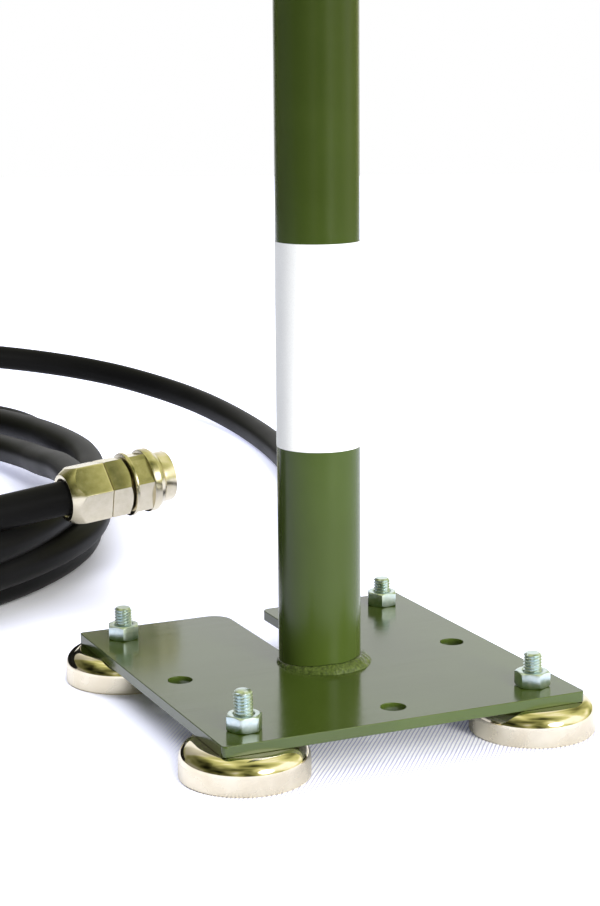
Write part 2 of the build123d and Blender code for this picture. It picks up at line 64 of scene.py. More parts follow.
def makeCamera():
    yaw, pitch, roll = (math.radians(camera[key]) for key in ("yaw", "pitch", "roll"))
    flat = math.cos(pitch)
    forward = Vector((math.sin(yaw) * flat, math.cos(yaw) * flat, -math.sin(pitch)))
    level = Vector((math.cos(yaw), -math.sin(yaw), 0))
    upright = level.cross(forward)
    right = level * math.cos(roll) + upright * math.sin(roll)
    up = upright * math.cos(roll) - level * math.sin(roll)
    turn = Matrix((right, up, -forward)).transposed()
    data = bpy.data.cameras.new("photoCamera")
    data.lens = camera["lens"]
    data.sensor_width = camera["sensor"]
    data.clip_start, data.clip_end = camera["clip"]
    eye = bpy.data.objects.new("photoCamera", data)
    eye.matrix_world = Matrix.Translation(Vector(camera["place"]) * mm) @ turn.to_4x4()
    bpy.context.scene.collection.objects.link(eye)
    bpy.context.scene.camera = eye


makeCamera()
print("camera made")


# colour and node helpers
def linear(code):
    # a hex sRGB colour as linear light
    parts = [int(code[i : i + 2], 16) / 255 for i in (1, 3, 5)]
    parts = [c / 12.92 if c <= 0.04045 else ((c + 0.055) / 1.055) ** 2.4 for c in parts]
    return (*parts, 1.0)


def perSize(size):
    # noise scale whose features are that many millimetres across
    return 1 / (size * mm)


def addNode(tree, kind, settings=None, inputs=None, links=None, stops=None):
    node = tree.nodes.new(kind)
    for key, value in (settings or {}).items():
        setattr(node, key, value)
    for key, value in (inputs or {}).items():
        node.inputs[key].default_value = value
    for key, source in (links or {}).items():
        tree.links.new(source, node.inputs[key])
    if stops:
        band = node.color_ramp
        while len(band.elements) < len(stops):
            band.elements.new(0.5)
        for element, (place, value) in zip(band.elements, stops):
            element.position = place
            element.color = linear(value) if isinstance(value, str) else (value, value, value, 1)
    return node


def newMaterial(name, roughness=0.5, metallic=0.0, ior=None):
    material = bpy.data.materials.new(name)
    material.use_nodes = True
    tree = material.node_tree
    tree.nodes.clear()
    shader = addNode(
        tree, "ShaderNodeBsdfPrincipled", inputs={"Roughness": roughness, "Metallic": metallic}
    )
    if ior:
        shader.inputs["IOR"].default_value = ior
    addNode(tree, "ShaderNodeOutputMaterial", links={"Surface": shader.outputs[0]})
    coords = addNode(tree, "ShaderNodeTexCoord").outputs["Object"]
    return material, tree, shader, coords


# materials
def oliveEnamel(name, roughLow, roughHigh, level):
    # alkyd enamel sprayed on steel: it mirrors what stands on it, more so on the flat sheet than on
    # the tube, with a faint orange peel and streaks where the rolled metal shows through
    look = {
        "patch": 40.0,
        "speck": 0.5,
        "speckMost": 0.06,
        "streak": 0.9,
        "streakLength": 26.0,
        "streakHeight": 0.4,
        "peel": 1.4,
        "peelDepth": 0.06,
    }
    material, tree, shader, coords = newMaterial(name, ior=1.5)
    shader.inputs["Specular IOR Level"].default_value = level
    patches = addNode(
        tree,
        "ShaderNodeTexNoise",
        inputs={"Scale": perSize(look["patch"]), "Detail": 4.0},
        links={"Vector": coords},
    ).outputs["Fac"]
    base = addNode(
        tree,
        "ShaderNodeValToRGB",
        links={"Fac": patches},
        stops=[(0.32, "#344115"), (0.55, "#374518"), (0.72, "#3C4A1C")],
    ).outputs["Color"]
    specks = addNode(
        tree,
        "ShaderNodeTexNoise",
        inputs={"Scale": perSize(look["speck"]), "Detail": 2.0},
        links={"Vector": coords},
    ).outputs["Fac"]
    speckShare = addNode(
        tree,
        "ShaderNodeValToRGB",
        links={"Fac": specks},
        stops=[(0.62, 0), (0.9, look["speckMost"])],
    ).outputs["Color"]
    coloured = addNode(
        tree,
        "ShaderNodeMix",
        settings={"data_type": "RGBA"},
        inputs={7: linear("#2A3512")},
        links={0: speckShare, 6: base},
    ).outputs[2]
    tree.links.new(coloured, shader.inputs["Base Color"])
    along = addNode(
        tree,
        "ShaderNodeMapping",
        inputs={"Scale": (look["streak"] / look["streakLength"], 1.0, 0.6)},
        links={"Vector": coords},
    ).outputs[0]
    streaks = addNode(
        tree,
        "ShaderNodeTexNoise",
        inputs={"Scale": perSize(look["streak"]), "Detail": 3.0},
        links={"Vector": along},
    ).outputs["Fac"]
    rough = addNode(
        tree,
        "ShaderNodeValToRGB",
        links={"Fac": streaks},
        stops=[(0.3, roughLow), (0.7, roughHigh)],
    ).outputs["Color"]
    tree.links.new(rough, shader.inputs["Roughness"])
    peel = addNode(
        tree,
        "ShaderNodeTexNoise",
        inputs={"Scale": perSize(look["peel"]), "Detail": 1.5},
        links={"Vector": coords},
    ).outputs["Fac"]
    height = addNode(
        tree,
        "ShaderNodeMath",
        settings={"operation": "MULTIPLY_ADD"},
        inputs={1: look["streakHeight"]},
        links={0: streaks, 2: peel},
    ).outputs[0]
    bump = addNode(
        tree,
        "ShaderNodeBump",
        inputs={"Strength": 0.12, "Distance": look["peelDepth"] * mm},
        links={"Height": height},
    )
    tree.links.new(bump.outputs[0], shader.inputs["Normal"])
    return material


def weldEnamel():
    # the same enamel, thicker and glossier over the weld, with painted shade that darkens it in the
    # crevice at the tube
    look = {
        "creviceShadeFrom": 13.5,
        "creviceShadeTo": 14.1,
        "ragged": 0.5,
        "ripple": 0.9,
        "rippleDepth": 0.7,
    }
    material, tree, shader, coords = newMaterial("oliveEnamelOnWeld", roughness=0.12, ior=1.5)
    flat = addNode(
        tree,
        "ShaderNodeVectorMath",
        settings={"operation": "MULTIPLY"},
        inputs={1: (1.0, 1.0, 0.0)},
        links={0: coords},
    ).outputs[0]
    radius = addNode(
        tree, "ShaderNodeVectorMath", settings={"operation": "LENGTH"}, links={0: flat}
    ).outputs["Value"]
    ripple = addNode(
        tree,
        "ShaderNodeTexNoise",
        inputs={"Scale": perSize(look["ripple"]), "Detail": 4.0},
        links={"Vector": coords},
    ).outputs["Fac"]
    share = addNode(
        tree,
        "ShaderNodeMapRange",
        inputs={"From Min": look["creviceShadeFrom"] * mm, "From Max": look["creviceShadeTo"] * mm},
        links={"Value": radius},
    ).outputs[0]
    ragged = addNode(
        tree, "ShaderNodeMix", inputs={0: look["ragged"]}, links={2: share, 3: ripple}
    ).outputs[0]
    # painted shade: near black where the bead meets the tube
    base = addNode(
        tree,
        "ShaderNodeValToRGB",
        links={"Fac": ragged},
        stops=[(0.32, "#0B0D06"), (0.43, "#2C3712"), (0.7, "#313D18"), (0.9, "#4A5824")],
    ).outputs["Color"]
    tree.links.new(base, shader.inputs["Base Color"])
    bump = addNode(
        tree,
        "ShaderNodeBump",
        inputs={"Strength": 0.5, "Distance": look["rippleDepth"] * mm},
        links={"Height": ripple},
    )
    tree.links.new(bump.outputs[0], shader.inputs["Normal"])
    return material


def nickelCup():
    # deep-drawn steel, nickel plated: the drawn side is satin, with marks that are made coarser than
    # they are so that they show, and the pressed shoulder above it is a mirror
    look = {
        "sideTop": 5.75,
        "shoulderFrom": 5.95,
        "shoulderRough": 0.05,
        "cloud": 9.0,
        "drawMark": 0.25,
        "markStretch": (1.0, 1.0, 0.08),
        "markStrength": (0.14, 0.01),  # on the side and on the shoulder
        "markDepth": 0.04,
    }
    material, tree, shader, coords = newMaterial("nickelPlatedDrawnSteel", metallic=1.0)
    height = addNode(tree, "ShaderNodeSeparateXYZ", links={0: coords}).outputs["Z"]
    shoulder = addNode(
        tree,
        "ShaderNodeMapRange",
        inputs={"From Min": look["sideTop"] * mm, "From Max": look["shoulderFrom"] * mm},
        links={"Value": height},
    ).outputs[0]
    clouds = addNode(
        tree,
        "ShaderNodeTexNoise",
        inputs={"Scale": perSize(look["cloud"]), "Detail": 5.0},
        links={"Vector": coords},
    ).outputs["Fac"]
    base = addNode(
        tree,
        "ShaderNodeValToRGB",
        links={"Fac": clouds},
        stops=[(0.35, "#DAD0B8"), (0.65, "#E8E0CB")],
    ).outputs["Color"]
    tree.links.new(base, shader.inputs["Base Color"])
    satin = addNode(
        tree, "ShaderNodeValToRGB", links={"Fac": clouds}, stops=[(0.35, 0.24), (0.65, 0.32)]
    ).outputs["Color"]
    rough = addNode(
        tree, "ShaderNodeMix", inputs={3: look["shoulderRough"]}, links={0: shoulder, 2: satin}
    ).outputs[0]
    tree.links.new(rough, shader.inputs["Roughness"])
    upright = addNode(
        tree, "ShaderNodeMapping", inputs={"Scale": look["markStretch"]}, links={"Vector": coords}
    ).outputs[0]
    marks = addNode(
        tree,
        "ShaderNodeTexNoise",
        inputs={"Scale": perSize(look["drawMark"]), "Detail": 2.0},
        links={"Vector": upright},
    ).outputs["Fac"]
    strength = addNode(
        tree,
        "ShaderNodeMapRange",
        inputs={"To Min": look["markStrength"][0], "To Max": look["markStrength"][1]},
        links={"Value": shoulder},
    ).outputs[0]
    bump = addNode(
        tree,
        "ShaderNodeBump",
        inputs={"Distance": look["markDepth"] * mm},
        links={"Height": marks, "Strength": strength},
    )
    tree.links.new(bump.outputs[0], shader.inputs["Normal"])
    return material


def brightMetal(name, low, high, roughLow, roughHigh, grain):
    # plated or turned metal: bright, with faint clouds in its colour, gloss and height
    look = {"strength": 0.06, "depth": 0.04}
    material, tree, shader, coords = newMaterial(name, metallic=1.0)
    clouds = addNode(
        tree,
        "ShaderNodeTexNoise",
        inputs={"Scale": perSize(grain), "Detail": 5.0},
        links={"Vector": coords},
    ).outputs["Fac"]
    bands = {
        "Base Color": [(0.35, low), (0.65, high)],
        "Roughness": [(0.3, roughLow), (0.7, roughHigh)],
    }
    for key, stops in bands.items():
        band = addNode(tree, "ShaderNodeValToRGB", links={"Fac": clouds}, stops=stops)
        tree.links.new(band.outputs["Color"], shader.inputs[key])
    bump = addNode(
        tree,
        "ShaderNodeBump",
        inputs={"Strength": look["strength"], "Distance": look["depth"] * mm},
        links={"Height": clouds},
    )
    tree.links.new(bump.outputs[0], shader.inputs["Normal"])
    return material


def blackJacket():
    # extruded polyethylene, black with soot: smooth, with a soft wide sheen that changes slowly
    # along it
    look = {"patch": 30.0, "level": 0.035}
    material, tree, shader, coords = newMaterial("blackPolyethylene", ior=1.51)
    shader.inputs["Specular IOR Level"].default_value = look["level"]
    patches = addNode(
        tree,
        "ShaderNodeTexNoise",
        inputs={"Scale": perSize(look["patch"]), "Detail": 1.0},
        links={"Vector": coords},
    ).outputs["Fac"]
    bands = {
        "Base Color": [(0.4, "#121212"), (0.75, "#171717")],
        "Roughness": [(0.35, 0.36), (0.7, 0.42)],
    }
    for key, stops in bands.items():
        band = addNode(tree, "ShaderNodeValToRGB", links={"Fac": patches}, stops=stops)
        tree.links.new(band.outputs["Color"], shader.inputs[key])
    return material


def whitePaper():
    # self-adhesive label paper: matt and white, with cockles and faint fibres, which are drawn
    # coarser than they are so that they show
    look = {"fibre": 0.35, "cockle": 9.0, "cockleDepth": 0.2}
    material, tree, shader, coords = newMaterial("coatedLabelPaper", roughness=0.62, ior=1.48)
    fibres = addNode(
        tree,
        "ShaderNodeTexNoise",
        inputs={"Scale": perSize(look["fibre"]), "Detail": 4.0},
        links={"Vector": coords},
    ).outputs["Fac"]
    base = addNode(
        tree,
        "ShaderNodeValToRGB",
        links={"Fac": fibres},
        stops=[(0.3, "#E9EAE8"), (0.7, "#F3F4F2")],
    ).outputs["Color"]
    tree.links.new(base, shader.inputs["Base Color"])
    cockle = addNode(
        tree,
        "ShaderNodeTexNoise",
        inputs={"Scale": perSize(look["cockle"]), "Detail": 2.0},
        links={"Vector": coords},
    ).outputs["Fac"]
    bump = addNode(
        tree,
        "ShaderNodeBump",
        inputs={"Strength": 0.2, "Distance": look["cockleDepth"] * mm},
        links={"Height": cockle},
    )
    tree.links.new(bump.outputs[0], shader.inputs["Normal"])
    return material


def plainSolid(name, low, high, roughLow, roughHigh, grain, depth, ior=1.5):
    # moulded, ground or cast solid: a fine grain in colour, gloss and height, drawn as coarse as it
    # needs to show
    look = {"strength": 0.25}
    material, tree, shader, coords = newMaterial(name, ior=ior)
    grains = addNode(
        tree,
        "ShaderNodeTexNoise",
        inputs={"Scale": perSize(grain), "Detail": 4.0},
        links={"Vector": coords},
    ).outputs["Fac"]
    bands = {
        "Base Color": [(0.3, low), (0.7, high)],
        "Roughness": [(0.3, roughLow), (0.7, roughHigh)],
    }
    for key, stops in bands.items():
        band = addNode(tree, "ShaderNodeValToRGB", links={"Fac": grains}, stops=stops)
        tree.links.new(band.outputs["Color"], shader.inputs[key])
    bump = addNode(
        tree,
        "ShaderNodeBump",
        inputs={"Strength": look["strength"], "Distance": depth * mm},
        links={"Height": grains},
    )
    tree.links.new(bump.outputs[0], shader.inputs["Normal"])
    return material


finishes = {
    "green_paint": oliveEnamel("oliveEnamelOnSheet", 0.13, 0.21, 0.62),
    "nickel_steel": nickelCup(),
    # sintered ferrite, ground flat: dark grey with a fine dull grain
    "ferrite": plainSolid("groundFerrite", "#2E2E30", "#3C3C3F", 0.42, 0.58, 0.6, 0.02),
    # cast epoxy: black and half glossy, a little uneven
    "potting_resin": plainSolid("castBlackEpoxy", "#161616", "#212121", 0.3, 0.45, 2.0, 0.05, 1.55),
    # zinc plating, blue passivated: bright, cool and slightly milky
    "zinc_steel": brightMetal("blueZincPlatedSteel", "#C6D8DC", "#DCE8EA", 0.28, 0.38, 1.5),
    "label_paper": whitePaper(),
    "cable_jacket": blackJacket(),
    # moulded neoprene: matt black with a fine grain from the mould
    "boot_rubber": plainSolid("mouldedNeoprene", "#121212", "#1A1A1A", 0.5, 0.66, 0.5, 0.03, 1.52),
    # turned brass, nickel plated: warm white metal with soft clouds
    "nickel_brass": brightMetal("nickelPlatedTurnedBrass", "#D3CBB2", "#DCD4BE", 0.2, 0.27, 2.5),
    # turned brass, left bare: yellow metal
    "plain_brass": brightMetal("turnedBrass", "#C9A24E", "#DBB868", 0.2, 0.32, 1.8),
    # machined PTFE: waxy white
    "white_insulator": plainSolid("machinedPtfe", "#E2E1DC", "#EDECE8", 0.38, 0.5, 1.0, 0.02, 1.38),
}
weldFinish = weldEnamel()
tubeFinish = oliveEnamel("oliveEnamelOnTube", 0.2, 0.27, 0.3)
for name, node in nodes.items():
    node.data.materials.clear()
    onTube = name == "mast_tube" or name.startswith("radome_")
    node.data.materials.append(tubeFinish if onTube else finishes[nodeSlots[name]])
print("materials made")

# cable: black polyethylene jacket, 13.5 mm across, its route as in the part's source
cable = {
    "diameter": 13.5,
    "facets": 9,  # bevel resolution
    "rings": 28,  # between two points of the route
    "exit": (18.09, 40.63, 42.04),
    "lead": [
        (18.09, 40.63, 42.04),
        (29.87, 67.1, 34.28),
        (52.5, 121.0, 20.5),
        (88.0, 204.0, 9.0),
        (117.0, 270.0, 6.9),
        (143.0, 345.0, 6.85),
        (159.0, 443.0, 7.0),
        (153.0, 520.0, 12.0),
        (115.0, 580.0, 22.0),
        (33.0, 593.0, 35.5),
        (-42.0, 598.0, 38.6),
        (-100.0, 583.0, 38.4),
        (-141.0, 554.0, 38.3),
        (-176.8, 505.6, 38.4),
        (-193.9, 448.1, 38.4),
    ],
    "tail": [
        (-228.1, 333.1, 37.0),
        (-245.2, 275.6, 38.3),
        (-239.5, 210.8, 38.3),
        (-205.0, 161.7, 38.6),
        (-154.0, 141.0, 39.4),
        (-104.0, 139.0, 39.9),
        (-72.0, 143.0, 40.4),
        (-39.9, 147.1, 43.7),
        (-21.3, 148.6, 45.4),
    ],
    # loose turns: how far each lies from the coil's middle and how high its centre is, at every
    # step
    "coilMiddle": (-98.0, 357.0),
    "coilTurn": 73.4,
    "coilStart": 90.0,
    "coilStep": 22.5,
    "turnOut": [
        (104, 108, 128, 173.1, 227.6, 205, 171.2, 137.8)
        + (132.2, 138.4, 165.8, 225, 234, 204, 163, 140),
        (133, 141, 165.6, 209.3, 244.4, 213.7, 180.8, 139.6)
        + (128.3, 126.3, 143.3, 181.9, 212, 188, 148, 125.5),
        (119.1, 128.6, 157.6, 206.8, 249, 222.6, 175.5, 127.1)
        + (106.9, 109.8, 122.7, 152.6, 183.4, 168, 134, 112),
    ],
    "turnUp": [
        (33, 24, 15, 8.5, 6.85, 6.85, 6.85, 6.85, 6.85, 6.85, 6.85, 6.85, 6.85, 6.85, 6.85, 6.85),
        (6.85, 6.85, 7.1, 8.8, 12.5, 15.8, 17.0, 21.2, 23.1, 21.5, 18, 13.7, 9.6, 6.85, 6.85, 6.85),
        (7.1, 13.1, 18.6, 23, 25.6, 27.8, 30.4, 27.4, 20.8, 15.2, 11.1, 8.8, 8.1, 8.6, 10, 11.9),
    ],
    "lastPoint": (116.4, 24.4),
    "outScale": 1.02,
}


def coilPoint(angle, out, up):
    turned = math.radians(angle + cable["coilTurn"])
    middle = cable["coilMiddle"]
    far = out * cable["outScale"]
    return (middle[0] + far * math.cos(turned), middle[1] + far * math.sin(turned), up)


def cablePoints():
    points = list(cable["lead"])
    angle = cable["coilStart"]
    for outs, ups in zip(cable["turnOut"], cable["turnUp"]):
        for out, up in zip(outs, ups):
            points.append(coilPoint(angle, out, up))
            angle += cable["coilStep"]
    points.append(coilPoint(angle, *cable["lastPoint"]))
    return points + cable["tail"]


def makeCable():
    curve = bpy.data.curves.new("coaxialCable", "CURVE")
    curve.dimensions = "3D"
    curve.bevel_depth = cable["diameter"] / 2 * mm
    curve.bevel_resolution = cable["facets"]
    curve.use_fill_caps = True
    curve.resolution_u = cable["rings"]
    points = cablePoints()
    spline = curve.splines.new("NURBS")
    spline.points.add(len(points) - 1)
    for slot, point in zip(spline.points, points):
        slot.co = (*(Vector(point) * mm), 1)
    spline.order_u = 3
    spline.use_endpoint_u = True
    curve.materials.append(finishes["cable_jacket"])
    piece = bpy.data.objects.new("coaxialCable", curve)
    bpy.context.scene.collection.objects.link(piece)
    return piece


def splineLength(piece):
    plain = piece.data.copy()
    plain.bevel_depth = 0
    line = bpy.data.objects.new("line", plain)
    mesh = bpy.data.meshes.new_from_object(line)
    bpy.data.objects.remove(line)
    ends = [[mesh.vertices[i].co for i in edge.vertices] for edge in mesh.edges]
    return sum((start - end).length for start, end in ends)


coaxialCable = makeCable()
cableLength = splineLength(coaxialCable)
print("cable made, length", round(cableLength, 3))
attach(coaxialCable, "antenna")
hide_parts("cable_lead", "cable_coil", "cable_tail")


# helpers for pieces: turned outlines, milled hexagons, cut threads and softened edges
within = {
    # how close counts as the same, mm: corners of a mesh, circles, a thread's surface and heights
    "corner": 0.0004,
    "circle": 0.003,
    "thread": 0.02,
    "height": 0.01,
}


def turnedForm(outline, steps):
    # outline: (radius, height) corners in millimetres, a loop unless it starts on the axis
    form = bmesh.new()
    corners = [form.verts.new((radius, 0, height)) for radius, height in outline]
    pairs = list(zip(corners, corners[1:]))
    if outline[0][0] > 0:
        pairs.append((corners[-1], corners[0]))
    edges = [form.edges.new(pair) for pair in pairs]
    bmesh.ops.spin(
        form,
        geom=corners + edges,
        cent=(0, 0, 0),
        axis=(0, 0, 1),
        dvec=(0, 0, 0),
        angle=2 * math.pi,
        steps=steps,
        use_merge=True,
        use_duplicate=False,
    )
    bmesh.ops.remove_doubles(form, verts=form.verts, dist=within["corner"])
    return form


def rows(start, end, step):
    # corners of a straight stretch of an outline, close enough for a thread to be cut in it
    count = max(1, round(abs(end[1] - start[1]) / step))
    return [
        tuple(a + (b - a) * i / count for a, b in zip(start, end)) for i in range(count)
    ]


def radiusOf(vert):
    return math.hypot(vert.co.x, vert.co.y)


def setRadius(vert, radius):
    share = radius / radiusOf(vert)
    vert.co.x *= share
    vert.co.y *= share


def ringOf(form, radius, height):
    gap = within["circle"]
    return [
        vert
        for vert in form.verts
        if abs(vert.co.z - height) < gap and abs(radiusOf(vert) - radius) < gap
    ]


def flatRadius(vert, across, cornerAt):
    angle = math.atan2(vert.co.y, vert.co.x) - math.radians(cornerAt)
    return across / 2 / math.cos(angle % (math.pi / 3) - math.pi / 6)


def millHexagon(form, across, cornerAt, ends):
    # ends: the face's height, the circle turned on it and the height at which the flats' corners
    # start
    corner = across / math.sqrt(3)
    for face, circle, start in ends:
        onFace = [] if circle is None else ringOf(form, circle, face)
        for vert in ringOf(form, corner, start):
            flat = flatRadius(vert, across, cornerAt)
            if circle is not None:
                vert.co.z = face + (start - face) * max(0, flat - circle) / (corner - circle)
            setRadius(vert, flat)
        for vert in onFace:
            setRadius(vert, min(circle, flatRadius(vert, across, cornerAt)))


def threadWave(share):
    # one turn of a thread from root to crest and back, both flat over a share of the flank
    flat = 0.15
    wave = 1 - abs(2 * (share % 1) - 1)
    return min(1, max(0, wave * (1 + 2 * flat) - flat))


def cutThread(form, radius, depth, pitch, low, high):
    # depth is taken off a rod's surface when it is negative, and into a bore's wall when positive
    for vert in form.verts:
        far = radiusOf(vert)
        if low < vert.co.z < high and abs(far - radius) < within["thread"]:
            turn = math.atan2(vert.co.y, vert.co.x) / (2 * math.pi)
            fade = min(1, (vert.co.z - low) / pitch, (high - vert.co.z) / pitch)
            setRadius(vert, far + depth * fade * threadWave(vert.co.z / pitch - turn))


def softenEdges(form, width, angle, height=None, beyond=10):
    # all sharp edges, or only those of the outline at one height, beyond the bore
    sharp = [edge for edge in form.edges if edge.calc_face_angle(0) > math.radians(angle)]
    if height is not None:
        outside = [edge for edge in sharp if all(radiusOf(vert) > beyond for vert in edge.verts)]
        sharp = [
            edge
            for edge in outside
            if all(abs(vert.co.z - height) < within["height"] for vert in edge.verts)
        ]
    bmesh.ops.bevel(
        form,
        geom=sharp,
        offset=width,
        offset_type="OFFSET",
        affect="EDGES",
        segments=2,
        profile=0.5,
        material=-1,
        clamp_overlap=True,
    )


def addPiece(form, name, body, slot, replaced=(), place=None, smoothBelow=32, flatAbove=None):
    # edges sharper than smoothBelow, in degrees, stay sharp, and faces larger than flatAbove, in
    # square millimetres, stay flat
    bmesh.ops.remove_doubles(form, verts=form.verts, dist=within["corner"])
    bmesh.ops.recalc_face_normals(form, faces=form.faces)
    for face in form.faces:
        face.smooth = flatAbove is None or face.calc_area() < flatAbove
    for edge in form.edges:
        edge.smooth = edge.calc_face_angle(0) < math.radians(smoothBelow)
    whole = Matrix.Scale(mm, 4) @ (place or Matrix.Identity(4))
    bmesh.ops.transform(form, matrix=whole, verts=form.verts)
    mesh = bpy.data.meshes.new(name)
    form.to_mesh(mesh)
    form.free()
    mesh.materials.append(finishes[slot])
    piece = bpy.data.objects.new(name, mesh)
    bpy.context.scene.collection.objects.link(piece)
    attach(piece, body)
    if replaced:
        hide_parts(*replaced)
    return piece


# studs: M6 with a coarse thread, rolled, each a different length above its nut
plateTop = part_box("base_plate")[1][2] / mm
studs = {
    "major": 3.0,
    "threadDepth": 0.58,
    "pitch": 1.0,
    "steps": 40,
    "headRadius": 4.25,
    "headHeight": 1.3,
    "tipChamfer": 0.75,
    "threadFrom": 0.1,  # above the head
    "threadPast": 0.4,  # over the shoulder
    "domed": "front_left",
    "domeHeight": 1.5,
    "domeAngles": (0, 12, 25, 38, 52, 68),
    "lean": {"front_left": (-1.6, 0.0)},  # degrees
}


def makeStud(corner):
    low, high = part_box("magnet_stud_" + corner)
    middle = ((low[0] + high[0]) / 2 / mm, (low[1] + high[1]) / 2 / mm)
    bottom, top = low[2] / mm, high[2] / mm
    major, step = studs["major"], studs["pitch"] / 8
    headTop = bottom + studs["headHeight"]
    if corner == studs["domed"]:
        dome = studs["domeHeight"]
        shoulder = top - dome
        angles = [math.radians(angle) for angle in studs["domeAngles"]]
        tip = [(major * math.cos(angle), shoulder + dome * math.sin(angle)) for angle in angles]
        tip.append((0, top))
    else:
        cut = studs["tipChamfer"]
        shoulder = top - cut
        tip = rows((major, shoulder), (major - cut, top), step) + [(major - cut, top), (0, top)]
    head = studs["headRadius"]
    outline = [(0, bottom), (head, bottom), (head, headTop), (major, headTop)]
    outline += rows((major, headTop + 0.2), (major, shoulder), step) + tip
    form = turnedForm(outline, studs["steps"])
    threadLow, threadTop = headTop + studs["threadFrom"], shoulder + studs["threadPast"]
    for vert in form.verts:
        far = radiusOf(vert)
        if threadLow < vert.co.z < threadTop and abs(far - major) < 0.5 and far > 0.1:
            turn = math.atan2(vert.co.y, vert.co.x) / (2 * math.pi)
            share = threadWave(vert.co.z / studs["pitch"] - turn)
            setRadius(vert, min(far, major - studs["threadDepth"] * share))
    lean = studs["lean"].get(corner, (0, 0))
    shear = Matrix.Identity(4)
    shear[0][2] = math.tan(math.radians(lean[0]))
    shear[1][2] = math.tan(math.radians(lean[1]))
    place = Matrix.Translation((*middle, plateTop)) @ shear @ Matrix.Translation((0, 0, -plateTop))
    node = "magnet_stud_" + corner
    addPiece(form, "threadedStud_" + corner, "antenna", "zinc_steel", [node], place)


corners = [name[len("magnet_stud_"):] for name in nodes if name.startswith("magnet_stud_")]
for corner in corners:
    makeStud(corner)
print("studs made", corners)

# hexagon nuts, M6: turned from both sides at 30 degrees, corners broken
nuts = {
    "across": 10.0,
    "height": 5.0,
    "bore": 3.05,
    "countersink": 3.45,
    "circle": 4.8,
    "cone": 0.577,  # slope of the turned corners
    "edge": 0.09,
    "sharper": 12,
    "steps": 72,
    # degrees, each nut as it was tightened
    "cornerAt": {"front_left": 57.0, "front_right": 83.7, "back_left": 70.8, "back_right": 63.5},
}


def makeNuts():
    whole = bmesh.new()
    corner = nuts["across"] / math.sqrt(3)
    drop = (corner - nuts["circle"]) * nuts["cone"]
    top, sink = nuts["height"], nuts["countersink"] - nuts["bore"]
    outline = [
        (nuts["countersink"], 0),
        (nuts["circle"], 0),
        (corner, drop),
        (corner, top - drop),
        (nuts["circle"], top),
        (nuts["countersink"], top),
        (nuts["bore"], top - sink),
        (nuts["bore"], sink),
    ]
    for name in corners:
        form = turnedForm(outline, nuts["steps"])
        ends = [(0, nuts["circle"], drop), (top, nuts["circle"], top - drop)]
        millHexagon(form, nuts["across"], nuts["cornerAt"][name], ends)
        softenEdges(form, nuts["edge"], nuts["sharper"])
        low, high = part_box("magnet_stud_" + name)
        middle = Vector(((low[0] + high[0]) / 2, (low[1] + high[1]) / 2, 0)) / mm
        middle.z = plateTop
        bmesh.ops.translate(form, vec=middle, verts=form.verts)
        mesh = bpy.data.meshes.new("nut")
        form.to_mesh(mesh)
        form.free()
        whole.from_mesh(mesh)
        bpy.data.meshes.remove(mesh)
    addPiece(whole, "hexNuts", "antenna", "zinc_steel", ["hex_nuts"])


makeNuts()
print("nuts made")

# base plate: the solid's own outline, with its edges rounded as the paint leaves them
plate = {
    "sameCorner": 0.001,
    "sameFace": 0.5,  # degrees
    "edge": 0.45,
    "sharper": 40,
    "smoothBelow": 60,
    "flatAbove": 60,
}


def makePlate():
    form = bmesh.new()
    form.from_mesh(nodes["base_plate"].data)
    bmesh.ops.transform(form, matrix=Matrix.Scale(1 / mm, 4), verts=form.verts)
    bmesh.ops.remove_doubles(form, verts=form.verts, dist=plate["sameCorner"])
    bmesh.ops.dissolve_limit(
        form,
        angle_limit=math.radians(plate["sameFace"]),
        verts=form.verts,
        edges=form.edges,
        use_dissolve_boundaries=False,
    )
    softenEdges(form, plate["edge"], plate["sharper"])
    addPiece(
        form,
        "basePlate",
        "antenna",
        "green_paint",
        ["base_plate"],
        smoothBelow=plate["smoothBelow"],
        flatAbove=plate["flatAbove"],
    )


makePlate()
print("plate made")

# weld: one bead round the tube's foot, uneven, open where the slot passes under the tube
weld = {
    "inner": 13.5,
    "root": 0.4,  # how far the bead reaches into the tube's wall
    "toe": 2.1,
    "lean": (1.05, -1.1),  # the toe is wider towards this side
    "leastToe": 0.3,
    "height": 1.9,
    "heightLean": (0.64, -0.77),
    "heightUneven": (0.12, 0.06),
    "faceAt": (0.06, 0.15, 0.25, 0.36, 0.47, 0.58, 0.69, 0.8, 0.9),
    "bulge": 0.22,
    "bulgeUp": 0.4,
    "topLeg": 0.3,
    "slotHalf": 7.25,
    "steps": 240,
    "ripple": 1.7,
    "rippleDepth": 0.1,
    "pebble": 1.3,
    "pebbleDepth": 0.16,
    "unevenSize": 6.0,
    "uneven": 0.16,
}


